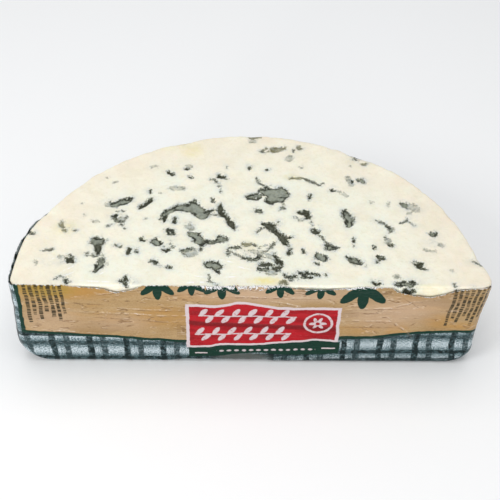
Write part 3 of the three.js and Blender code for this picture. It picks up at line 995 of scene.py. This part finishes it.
def makeWrapper():
    m = foilMake
    piece, row, share = layGrid()
    z, edge = rowHeights(row, share)
    x, y, outX, outY = skinPlace(share, z, m["inset"])
    printU, printV = unrolled(share, x, z)
    out = wrinkles(printU, printV, share, edge)
    # the film lies flatter where the slab turns under, and never dips into the cheese
    inMost, outMost = m["outMost"]
    out = np.clip(out, inMost * mm, outMost * mm) * smooth(-1 * mm, 3 * mm, z)
    level = np.clip((slab["shoulder"] - z) / slab["shoulder"], 0, 1) * smooth(1.2, 2, np.abs(share))
    x += outX * out * np.sqrt(1 - level ** 2)
    y += outY * out * np.sqrt(1 - level ** 2)
    z = z + m["inset"] * 0.6 * (1 - smooth(0, 8 * mm, z)) - out * level * 0.4
    # under the label the film is pulled up off the table
    hitched = smooth(-34 * mm, -26 * mm, printU) * smooth(12 * mm, 7 * mm, printU) * (np.abs(share) <= 1)
    z = z + hitched * m["hitch"] * mm * smooth(9 * mm, 0, z)
    # the lip folds in over the cheese where it stands proud
    lip = smooth(-1.4 * mm, 0.3 * mm, z - slab["topZ"]) * smooth(1.3, 1.0, np.abs(share))
    y += lip * m["lipFold"] * mm
    # the base closes towards its middle, with the gathers running in
    isBase = row < m["baseRows"]
    keep = np.clip(row / m["baseRows"], 0, 1)
    middleY = slab["frontY"] + m["baseMiddle"] * mm
    x = np.where(isBase, x * keep, x)
    y = np.where(isBase, middleY + (y - middleY) * keep, y)
    baseFlat = np.column_stack([x, y, np.zeros(len(x))])
    puckers = 0.25 * mm * (1 + grain(baseFlat, 5 * mm, 41)) * smooth(0, 0.4, keep)
    lowest = m["baseHeight"] * mm
    z = np.where(isBase, lowest + puckers, np.maximum(z, lowest))
    writePoints(piece, slump(np.column_stack([x, y, z])))
    writeValue(piece, "belowEdge", edge - printV)
    addPrintMap(piece, row, printU, printV, x, y)
    closeWrapper(piece)
    return piece


def addPrintMap(piece, row, printU, printV, x, y):
    # metres along and up the sheet; the base is printed flat
    mesh = piece.data
    corners = np.empty(len(mesh.loops), int)
    mesh.loops.foreach_get("vertex_index", corners)
    faceRow = row[corners].reshape(-1, 4).max(axis=1).repeat(4)
    underneath = faceRow <= foilMake["baseRows"]
    u = np.where(underneath, x[corners], printU[corners])
    v = np.where(underneath, slab["frontY"] - y[corners], printV[corners])
    layer = mesh.uv_layers[0]
    layer.name = "printMap"
    layer.data.foreach_set("uv", np.column_stack([u, v]).astype(np.float32).ravel())


def closeWrapper(piece):
    pick(piece)
    bpy.ops.object.mode_set(mode="EDIT")
    bpy.ops.mesh.select_all(action="SELECT")
    bpy.ops.mesh.remove_doubles(threshold=0.02 * mm)
    bpy.ops.mesh.normals_make_consistent(inside=False)
    bpy.ops.object.mode_set(mode="OBJECT")
    wall = piece.modifiers.new("wall", "SOLIDIFY")
    wall.thickness = foilMake["thickness"]
    wall.offset = 0
    wall.material_offset = 1
    wall.material_offset_rim = 1
    bpy.ops.object.modifier_apply(modifier=wall.name)


# ---- the print
printLook = {
    "tan": rgb(163, 133, 90),
    "tanLight": rgb(178, 150, 109),
    "tanShade": rgb(134, 105, 68),
    "ochre": rgb(174, 128, 60),
    # the next two paint the creases: dirt with painted shade, then a painted highlight
    "foldDirtAndShade": rgb(112, 84, 56),
    "foldHighlight": rgb(226, 206, 184),
    "pink": rgb(194, 166, 142),
    "green": rgb(0, 46, 33),
    "red": rgb(172, 17, 30),
    "redDeep": rgb(120, 5, 15),
    "white": rgb(204, 190, 192),
    "silver": rgb(226, 226, 226),
    "gray": rgb(84, 88, 84),
    "smallPrint": rgb(48, 42, 24),
    "mustard": rgb(150, 128, 48),
    "checkLight": rgb(196, 208, 213),
    "checkMid": rgb(66, 92, 96),
    "checkDark": rgb(2, 26, 27),
    # where things start and end along the sheet, and how wide the rules are, in millimetres
    "panelSpan": (-90.6, 148),
    "bandSpan": (-24.8, 38.3),
    "labelSpan": (-25.4, 37.6),
    "redSpan": (-24, 36.2),
    "borderRule": 1.5,
    "labelRule": 1.45,
    # curved lines of the print: place along the sheet, height
    "smile": [(-95, 20.4), (-90, 20), (-60, 17.6), (-40, 15.6), (-25, 14.6), (10, 15.5), (38, 17.6),
              (50, 17.7), (60, 19.2), (75, 21), (95, 21.6), (150, 21)],
    "labelTop": [(-30, 36.4), (-25, 36.6), (-14, 36), (-8, 37), (-4, 38), (5, 36.6), (14, 35),
                 (25, 34.9), (42, 35)],
    "labelBottom": [(-30, 9.9), (-22, 9.6), (-16, 9.9), (-12, 11), (5, 11.6), (14, 12.8), (22, 13.4),
                    (28, 14.4), (42, 13.4)],
    "bandBottom": [(-30, 3.2), (-14, 3.6), (-4, 5.4), (5, 6.2), (15, 5.2), (42, 6.3)],
    # fans of three hanging leaves, cut through at the top: middle x, height of their root, size
    "fans": [(-36, 48.5, 1.0), (-22.5, 49, 0.82), (-10.6, 49.5, 1.05), (12.5, 48.6, 0.85),
             (28.5, 48.4, 0.9), (45.6, 47, 1.35)],
    "fanTurns": (-2.35, -1.57, -0.8),
    # blocks of broken rules: left, right, low, high, how many, lean
    "ruleBlocks": [(-89, -72.5, 25, 48, 7, 0.03), (80.3, 94.2, 24, 46, 7, -0.06)],
    # where the cut edge shows bare foil with painted glints: middle x, z, half sizes, softness, width
    "bareLipsWithGlints": [(-3.5, 46, 14, 9, 0.35, 1.1), (43, 46, 7, 9, 0.4, 0.5)],
    # soft places of another colour: middle x, z, half sizes, strength
    "stains": [(-72, 45, 19, 6, 0.8), (-34, 29, 14, 6, 0.55), (46, 22, 9, 2.6, 0.5), (61, 21.5, 4.5, 4, 0.6),
               (78, 27, 6, 4, 0.6), (-20, 41, 16, 2.6, 0.4), (64, 41.5, 6, 2.6, 0.4), (86, 24.5, 8, 2, 0.6)],
    "blush": [(8, 42.5, 34, 4.5, 0.6), (-80, 26, 12, 8, 0.35), (70, 36, 14, 6, 0.3), (56, 31, 16, 8, 0.5),
              (-52, 25, 12, 5, 0.3)],
}


def span(along, ends):
    return band(along, ends[0] * mm, ends[1] * mm)


def makeCheckGroup():
    # the woven-looking check: paired dark stripes each way on pale ground
    tree, (along, up, period, light, middle, dark), out = newGroup("wovenCheck", {
        "Along": 0.0, "Up": 0.0, "Period": 15.1 * mm, "Light": printLook["checkLight"],
        "Middle": printLook["checkMid"], "Dark": printLook["checkDark"]}, "Colour", "Color")

    def stripe(value, start, width):
        turn = calc("PINGPONG", value - start * mm, period * 0.5)
        return ramp(turn, (width / 2 + 0.25) * mm, (width / 2 - 0.25) * mm)

    upright = most(stripe(along, -80.6, 2.5), stripe(along, -75, 2.5) * 0.8)
    level = most(stripe(up, 2.6, 2.4), stripe(up, 12.2, 2.4) * 0.8)
    thread = calc("PINGPONG", along + 77.2 * mm, period * 0.5)
    hair = ramp(abs(thread - 0.45 * mm), 0.28 * mm, 0.1 * mm) * 0.45
    place = joined(along, up)
    weave = noiseAt(place, 1500, 4, 0.95)
    blotch = noiseAt(place, 500, 2, 0.6)
    # pale squares are stippled more at their borders than in the middle
    rows = calc("PINGPONG", up - 7.4 * mm, 4.8 * mm)
    stipple = ramp(weave + ramp(rows, 0.5 * mm, 3.5 * mm, -0.03, 0.06), 0.46, 0.53, 0, 0.95)
    colour = mixColour(stipple, light, middle)
    colour = mixColour(hair, colour, middle)
    darkness = most(upright, level)
    colour = mixColour(darkness * ramp(weave, 0.4, 0.5, 0.45, 1), colour, middle)
    deep = most(upright * level, darkness * ramp(blotch, 0.35, 0.6, 0.3, 1))
    feed(mixColour(deep, colour, dark), out)
    return tree


def tanFilm(place, streaked):
    # streaked is the place squeezed along the sheet, so that patterns on it run long
    look = printLook
    tan = mixColour(ramp(noiseAt(streaked, 220, 4, 0.6), 0.35, 0.7), look["tan"], look["tanLight"])
    # flat facets between the creases, some with painted shade and some with painted light, as if each were
    # tilted its own way to the lamps
    paintedFacetCells = addNode(place.tree, "ShaderNodeTexVoronoi", {
        "Vector": calcVector("MULTIPLY", place, (0.45, 1, 1)), "Scale": 110})
    paintedFacetShade, lighter, _ = axes(Wire(paintedFacetCells.outputs["Color"]))
    tan = mixColour(ramp(paintedFacetShade, 0.4, 1, 0, 0.4), tan, look["tanShade"])
    tan = mixColour(ramp(lighter, 0.5, 1, 0, 0.4), tan, look["tanLight"])
    tan = mixColour(ramp(noiseAt(place, 1300, 5, 0.9), 0.48, 0.6, 0, 0.5), tan, look["tanShade"])
    spots = [spotAt(place, *oval, 0.6) * strength for *oval, strength in look["stains"]]
    stain = most(ramp(noiseAt(streaked, 90, 4, 0.6), 0.5, 0.68, 0, 0.45), *spots)
    stain = stain * ramp(noiseAt(streaked, 400, 3, 0.6), 0.3, 0.6, 0.5, 1)
    tan = mixColour(stain, tan, look["ochre"])
    for *oval, strength in look["blush"]:
        tan = mixColour(spotAt(place, *oval, 0.7) * strength, tan, look["pink"])
    # wandering hairline creases: brown lines of dirt and painted shade, with a painted highlight along one
    # side
    contour = noiseAt(streaked, 150, 4, 0.55)
    breaks = ramp(noiseAt(place, 170, 3, 0.6), 0.47, 0.56)
    tan = mixColour(ramp(abs(contour - 0.5), 0.014, 0.005) * breaks * 0.6, tan, look["foldDirtAndShade"])
    return mixColour(ramp(abs(contour - 0.525), 0.012, 0.004) * breaks * 0.3, tan, look["foldHighlight"])


def foldLines(place, pale):
    # ridges catch light above and shade below; grooves are only dark
    folds = []
    for ax, az, bx, bz, _, amount in foilMake["creases"]:
        lift = 0 if amount < 0 else 0.45 if pale else -0.3
        if amount > 0 or not pale:
            folds.append(streakAt(place, ax, az + lift, bx, bz + lift, 0.2 + abs(amount) * 0.5, 0.48))
    return most(*folds) * ramp(noiseAt(place, 330, 3, 0.6), 0.38, 0.62)


def ruleColumns(along, up):
    # blocks of fine broken rules, leaning a little with the film
    blocks = []
    for left, right, low, high, count, lean in printLook["ruleBlocks"]:
        offset = along + (up - 36 * mm) * lean - left * mm
        turn = offset / ((right - left) / count * mm)
        number = calc("FLOOR", turn)
        rule = ramp(abs(calc("FRACT", turn) - 0.45), 0.37, 0.26)
        bottom = calc("FRACT", (number + 1.7) * 0.617) * (7 * mm) + low * mm
        broken = ramp(noiseAt(joined(number * (3.7 * mm), up), 1500, 2, 0.6), 0.4, 0.52, 0.12, 1)
        blocks.append(rule * broken * span(offset, (0, right - left)) * band(up, bottom, high * mm))
    return most(*blocks) * 0.95


def fanLeaves(place):
    leaves = []
    for x, z, size in printLook["fans"]:
        for turn in printLook["fanTurns"]:
            middleX, middleZ = x + 4.8 * size * math.cos(turn), z + 4.8 * size * math.sin(turn)
            leaves.append(spotAt(place, middleX, middleZ, 4.6 * size, 1.75 * size, 0.05, turn))
    return most(*leaves)


def inCell(along, pitch, shift):
    # how far a place is from the middle of its own cell in a row
    return (along + shift * mm) % (pitch * mm) - pitch / 2 * mm


def beadChain(along, up):
    # small lozenges strung along the green band
    cell = joined(inCell(along, 3.1, 31), up - (along * 0.03 + 7.9 * mm))
    return spotAt(cell, 0, 0, 0.95, 0.62, 0.25) * span(along, (-13, 28.6)) * 0.85


def labelOrnament(along, up):
    # two leafy sprays and a rosette in a ring
    marks = []
    for height, tilt, shift in ((29.4, -0.012, 0.0), (18.6, 0.02, 1.6)):
        level = up - (along * tilt + height * mm)
        cell = joined(inCell(along, 6.6, 40 + shift), level)
        leaves = [spotAt(cell, 1.2 * side, -2 * side, 2.6, 1.1, 0.1, 0.95) for side in (-1, 1)]
        spray = most(ramp(abs(level), 0.42 * mm, 0.28 * mm), *leaves)
        marks.append(spray * span(along, (-20.2 - shift, 19.4 - shift)))
    x, z = along - 28.6 * mm, up - 25.2 * mm
    reach = calc("SQRT", x ** 2 + z ** 2)
    ring = ramp(abs(reach - 5.6 * mm), 0.6 * mm, 0.4 * mm)
    petals = calc("COSINE", calc("ARCTAN2", z, x) * 6) * mm
    rosette = ramp(reach - (petals + 2.7 * mm), 0.15 * mm, -0.15 * mm) * ramp(reach, 0.75 * mm, 0.95 * mm)
    worn = ramp(noiseAt(joined(along, up), 700, 3, 0.65), 0.3, 0.48, 0.35, 0.95)
    return most(ring, rosette, *marks) * worn


def printLabel(colour, along, up, streaked):
    # the green band with its beads, then the red label in its white frame
    look = printLook
    top, bottom, bandBottom = (curveAt(along, look[k]) for k in ("labelTop", "labelBottom", "bandBottom"))
    colour = mixColour(band(up, bandBottom, bottom) * span(along, look["bandSpan"]), colour, look["green"])
    leftDash = span(up, (5.6, 6.4)) * span(along, (-22.4, -17))
    rightDash = span(up, (9.1, 9.9)) * span(along, (31, 36.6))
    dashes = most(leftDash, rightDash, beadChain(along, up))
    colour = mixColour(dashes, colour, look["white"])
    colour = mixColour(band(up, bottom, top) * span(along, look["labelSpan"]), colour, look["white"])
    rule = look["labelRule"] * mm
    inside = band(up, bottom + rule * 0.8, top - rule) * span(along, look["redSpan"])
    # the red darkens in noisy blotches, and with painted shade along a band where the label is folded
    fold = band(up + along * 0.055, 22.3 * mm, 25.2 * mm, 0.6 * mm)
    shade = most(ramp(noiseAt(streaked, 160, 3, 0.6), 0.4, 0.62) * 0.7, fold)
    colour = mixColour(inside, colour, mixColour(shade, look["red"], look["redDeep"]))
    return mixColour(labelOrnament(along, up) * inside, colour, look["white"])


def makePrintMaterial():
    material, tree, shader = newMaterial("printedFoil")
    look = printLook
    uv = Wire(addNode(tree, "ShaderNodeUVMap", uv_map="printMap").outputs[0])
    rawAlong, rawUp, _ = axes(uv)
    # the film has stretched and crept, so no printed line is quite straight
    creepAlong, creepUp, _ = axes(noiseAt(uv, 120, 6, 0.62, "Color"))
    along = rawAlong + ramp(creepAlong, 0, 1, -1.1 * mm, 1.1 * mm, soft=False)
    up = rawUp + ramp(creepUp, 0, 1, -0.9 * mm, 0.9 * mm, soft=False)
    place = joined(along, up)
    streaked = calcVector("MULTIPLY", place, (0.25, 1, 1))
    # the check, which drifts upwards to the right
    drift = ramp(along, -30 * mm, 60 * mm, 0, 5 * mm)
    colour = useGroup(makeCheckGroup(), {"Along": along, "Up": up - drift})
    # blotchy painted shade along the foot, most of all to the right and under the label
    shadeBlotches = ramp(noiseAt(place, 700, 4, 0.7), 0.42, 0.58, 0.35, 1)
    foot = ramp(up, 6 * mm, 2 * mm) * ramp(along, -20 * mm, 25 * mm, 0.2, 0.8) * shadeBlotches
    colour = mixColour(foot, colour, look["checkDark"])
    # a flat gray patch low under the label, where the film is hitched up
    colour = mixColour(spotAt(place, -2, 2.6, 11, 3.4, 0.35) * 0.85, colour, look["gray"])
    # the tan panel above its curved green border
    rise = up - curveAt(along, look["smile"])
    left, right = look["panelSpan"]
    rule = look["borderRule"]
    panel = ramp(rise, -0.1 * mm, 0.1 * mm) * span(along, (left, right))
    colour = mixColour(panel, colour, tanFilm(place, streaked))
    sides = most(span(along, (left - 1.6, left + 0.2)), span(along, (right, right + 1.8)))
    border = most(span(rise, (-rule, 0.1)) * span(along, (left - 1.4, right + 2)),
                  sides * ramp(rise, -rule * mm, (0.3 - rule) * mm))
    colour = mixColour(border, colour, look["green"])
    # folds in the film: brown hairlines of dirt and painted shade, pale painted highlights on the ridges and
    # silver painted glints on them
    colour = mixColour(foldLines(place, False) * 0.7, colour, look["foldDirtAndShade"])
    ridges = foldLines(place, True)
    colour = mixColour(ridges * 0.4, colour, look["foldHighlight"])
    glint = ridges * ramp(noiseAt(place, 1500, 2, 0.6), 0.58, 0.66)
    colour = mixColour(glint, colour, look["silver"])
    # a row of leaf fans along the top of the panel, cut through by the knife
    colour = mixColour(fanLeaves(place) * panel, colour, look["green"])
    colour = mixColour(panel * spotAt(place, -80, 46, 11, 6) * 0.6, colour, look["mustard"])
    colour = mixColour(ruleColumns(along, up), colour, look["smallPrint"])
    colour = printLabel(colour, along, up, streaked)
    # the torn edge shows the bare foil, most where the lip is crumpled; its silver flecks are partly painted
    # glints
    lipWidth = most(*(spotAt(place, *oval) * (width * mm) for *oval, width in look["bareLipsWithGlints"]))
    flecks = ramp(noiseAt(place, 900, 4, 0.7), 0.35, 0.65, -1, 1, soft=False)
    flecks = flecks * (lipWidth * 1.3 + 0.35 * mm)
    bare = ramp(storedAt(tree, "belowEdge") + flecks - lipWidth, 0.15 * mm, -0.1 * mm)
    crushedFoilGlints = mixColour(ramp(noiseAt(place, 1700, 3, 0.7), 0.5, 0.6), look["silver"], look["gray"])
    feed(mixColour(bare, colour, crushedFoilGlints), shader.inputs["Base Color"])
    # gloss that comes and goes with the creases
    feed(ramp(noiseAt(streaked, 260, 4, 0.65), 0.3, 0.7, 0.12, 0.34), shader.inputs["Roughness"])
    facets = {"Vector": place, "Scale": 420}
    crackle = addNode(tree, "ShaderNodeTexVoronoi", facets, feature="DISTANCE_TO_EDGE").outputs["Distance"]
    height = noiseAt(streaked, 900, 4, 0.65) * 0.7 + ramp(Wire(crackle), 0, 0.25) * 0.35
    threads = noiseAt(calcVector("MULTIPLY", place, (1, 0.18, 1)), 1100, 3, 0.6)
    addBump(shader, height + threads * ramp(rise, 1 * mm, -1 * mm, 0.15, 0.8), 0.45, 0.2 * mm)
    shader.inputs["Specular IOR Level"].default_value = 0.16
    return material


def makeLiningMaterial():
    # the foil's bare inner side
    material, tree, shader = newMaterial("foilLining")
    place = Wire(addNode(tree, "ShaderNodeTexCoord").outputs["Object"])
    cloud = noiseAt(place, 300, 3)
    feed(mixColour(cloud, rgb(214, 214, 212), rgb(236, 236, 232)), shader.inputs["Base Color"])
    feed(ramp(cloud, 0.3, 0.7, 0.24, 0.4), shader.inputs["Roughness"])
    addBump(shader, noiseAt(place, 1200, 3), 0.4, 0.15 * mm)
    shader.inputs["Metallic"].default_value = 0.55
    return material


# ---- the setting
setting = {
    "floorColour": rgb(250, 250, 250),
    "sky": (0.96, 0.98, 1.0, 1.0),
    "skyStrength": 0.5,
    # name, place, size, power
    "lights": [("overhead", (0.0, 0.05, 0.75), 0.7, 2.5), ("keyLeft", (-0.55, -0.4, 0.5), 0.3, 1.7),
               ("fillFront", (0.25, -0.8, 0.12), 0.3, 1.3), ("glint", (-0.35, -0.6, 0.1), 0.08, 0.9)],
    "elevation": 44.3,
    "azimuth": -1.0,
    "roll": 1.1,
    "distance": 402 * mm,
    "aim": (1 * mm, -4 * mm, 23.35 * mm),
    "lens": 65.0,
}


def makeSetting():
    deselectAll()
    bpy.ops.mesh.primitive_plane_add(size=6, location=(0, 0, 0))
    floor = bpy.context.object
    floor.name = "floor"
    material, _, shader = newMaterial("paleFloor")
    shader.inputs["Base Color"].default_value = setting["floorColour"]
    shader.inputs["Roughness"].default_value = 0.9
    floor.data.materials.append(material)
    world = bpy.data.worlds.new("softStudio")
    bpy.context.scene.world = world
    world.use_nodes = True
    background = world.node_tree.nodes["Background"]
    background.inputs["Color"].default_value = setting["sky"]
    background.inputs["Strength"].default_value = setting["skyStrength"]
    for name, place, size, power in setting["lights"]:
        lamp = bpy.data.lights.new(name, "AREA")
        lamp.shape, lamp.size, lamp.energy = "SQUARE", size, power
        holder = bpy.data.objects.new(name, lamp)
        bpy.context.scene.collection.objects.link(holder)
        holder.location = place
        holder.rotation_euler = (Vector((0, 0, 0.02)) - Vector(place)).to_track_quat("-Z", "Y").to_euler()
    bpy.context.scene.view_settings.view_transform = "Standard"


def makeCamera():
    elevation, azimuth, roll = (math.radians(setting[k]) for k in ("elevation", "azimuth", "roll"))
    level = math.cos(elevation)
    back = Vector((math.sin(azimuth) * level, -math.cos(azimuth) * level, math.sin(elevation)))
    right = Vector((math.cos(azimuth), math.sin(azimuth), 0))
    upward = back.cross(right)
    tiltRight = right * math.cos(roll) + upward * math.sin(roll)
    tiltUp = upward * math.cos(roll) - right * math.sin(roll)
    camera = bpy.data.objects.new("camera", bpy.data.cameras.new("camera"))
    bpy.context.scene.collection.objects.link(camera)
    turned = Matrix((tiltRight, tiltUp, back)).transposed().to_4x4()
    camera.matrix_world = Matrix.Translation(Vector(setting["aim"]) + back * setting["distance"]) @ turned
    camera.data.lens = setting["lens"]
    camera.data.sensor_width = 36
    camera.data.clip_start = 0.01
    bpy.context.scene.camera = camera


def shadeSmooth(piece, angle):
    pick(piece)
    bpy.ops.object.shade_smooth_by_angle(angle=math.radians(angle))


makeSetting()
makeCamera()
print("setting and camera ready")

cheese = makeCheese()
shadeSmooth(cheese, 60)
cheese.data.materials.append(makePasteMaterial())
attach(cheese, "root")
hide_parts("cheese")
print("cheese ready:", len(cheese.data.polygons), "faces")

wrapper = makeWrapper()
wrapper.data.materials.append(makePrintMaterial())
wrapper.data.materials.append(makeLiningMaterial())
shadeSmooth(wrapper, 50)
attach(wrapper, "root")
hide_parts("wrapper")
print("wrapper ready:", len(wrapper.data.polygons), "faces")
